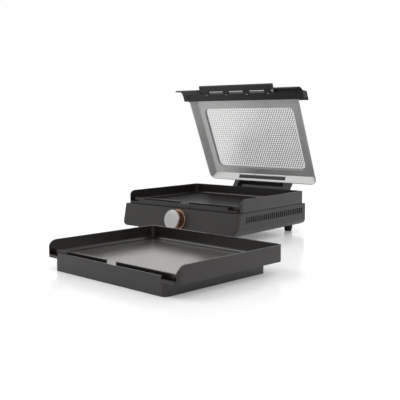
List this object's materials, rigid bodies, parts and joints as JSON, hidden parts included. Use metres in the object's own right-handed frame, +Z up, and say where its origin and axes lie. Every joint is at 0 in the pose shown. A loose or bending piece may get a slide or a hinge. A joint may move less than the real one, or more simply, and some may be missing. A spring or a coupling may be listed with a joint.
{
  "type": "electric indoor grill",
  "caption": "Countertop electric grill with a hinged mesh-window lid held open, a ribbed plate in the base, a front dial, a drip tray and a spare flat plate.",
  "frame": {"origin": "on the table, under the middle of the set of grill and spare plate", "axes": "+Z up; the front panel with the dial faces -Y; +X to the right as seen from the front"},
  "size_m": [0.6428, 0.8796, 0.3987],
  "materials": {
    "housing_paint": "satin dark grey paint",
    "black_plastic": "fine matte black moulding",
    "rubber_feet": "matte rubber",
    "zinc_screws": "zinc plated",
    "well_steel": "aluminised sheet",
    "element_steel": "oxidised tube",
    "brass_fittings": "plain",
    "cream_ceramic": "unglazed ceramic",
    "board_green": "solder mask",
    "wire_sleeve": "silicone sleeve",
    "copper_trim": "copper coloured, brushed",
    "dial_metal": "spun",
    "lid_steel": "satin stainless",
    "mesh_steel": "perforated stainless",
    "coated_plate": "dark non-stick coating on cast aluminium",
    "tray_enamel": "black enamel"
  },
  "bodies": {
    "base": {"housing": "housing_paint", "bottom_cover": "black_plastic", "foot_front_left": "rubber_feet", "foot_front_right": "rubber_feet", "foot_rear_left": "rubber_feet", "foot_rear_right": "rubber_feet", "foot_screws": "zinc_screws", "cover_screws": "zinc_screws", "well_pan": "well_steel", "well_screws": "zinc_screws", "heating_element": "element_steel", "element_bushings": "brass_fittings", "element_brackets": "well_steel", "element_tabs": "well_steel", "temperature_probe": "well_steel", "thermal_fuse": "cream_ceramic", "control_board": "board_green", "board_standoffs": "brass_fittings", "terminal_block": "cream_ceramic", "wiring": "wire_sleeve", "dial_control": "black_plastic", "dial_nut": "zinc_screws", "dial_bezel": "copper_trim", "cord_inlet": "black_plastic", "hinge_bracket": "black_plastic", "bracket_screws": "zinc_screws", "hinge_pin": "zinc_screws", "pin_caps": "zinc_screws", "friction_washers": "brass_fittings", "tray_runners": "well_steel", "runner_screws": "zinc_screws"},
    "lid": {"hinge_bushes": "brass_fittings", "hinge_arm": "black_plastic", "arm_screws": "zinc_screws", "lid_pan": "lid_steel", "lid_mesh": "mesh_steel", "mesh_frame": "lid_steel", "lid_rail": "black_plastic", "rail_screws": "zinc_screws", "handle_posts": "black_plastic", "handle_grip": "black_plastic", "handle_screws": "zinc_screws"},
    "dial": {"dial_shaft": "zinc_screws", "dial_body": "black_plastic", "dial_sleeve": "copper_trim", "dial_cap": "dial_metal"},
    "drip_tray": {"drip_tray": "tray_enamel"},
    "grill_plate": {"grill_plate": "coated_plate"},
    "griddle_plate": {"griddle_plate": "coated_plate"}
  },
  "joints": [
    {"name": "lid_hinge", "type": "hinge", "parent": "base", "child": "lid", "pos_m": [-0.11539, 0.38841, 0.065], "axis": [-1, 0, 0], "range_deg": [-66, 24]},
    {"name": "dial_turn", "type": "hinge", "parent": "base", "child": "dial", "pos_m": [-0.11539, 0.03536, 0.0475], "axis": [0, -0.9789, 0.2043], "range_deg": [-270, 0]},
    {"name": "drip_tray_slide", "type": "slide", "parent": "base", "child": "drip_tray", "axis": [0, -1, 0], "range_m": [0, 0.15]},
    {"name": "grill_plate_lift", "type": "slide", "parent": "base", "child": "grill_plate", "axis": [0, 0, 1], "range_m": [0, 0.1]},
    {"name": "griddle_plate_lift", "type": "slide", "parent": "base", "child": "griddle_plate", "axis": [0, 0, 1], "range_m": [0, 0.1]}
  ]
}
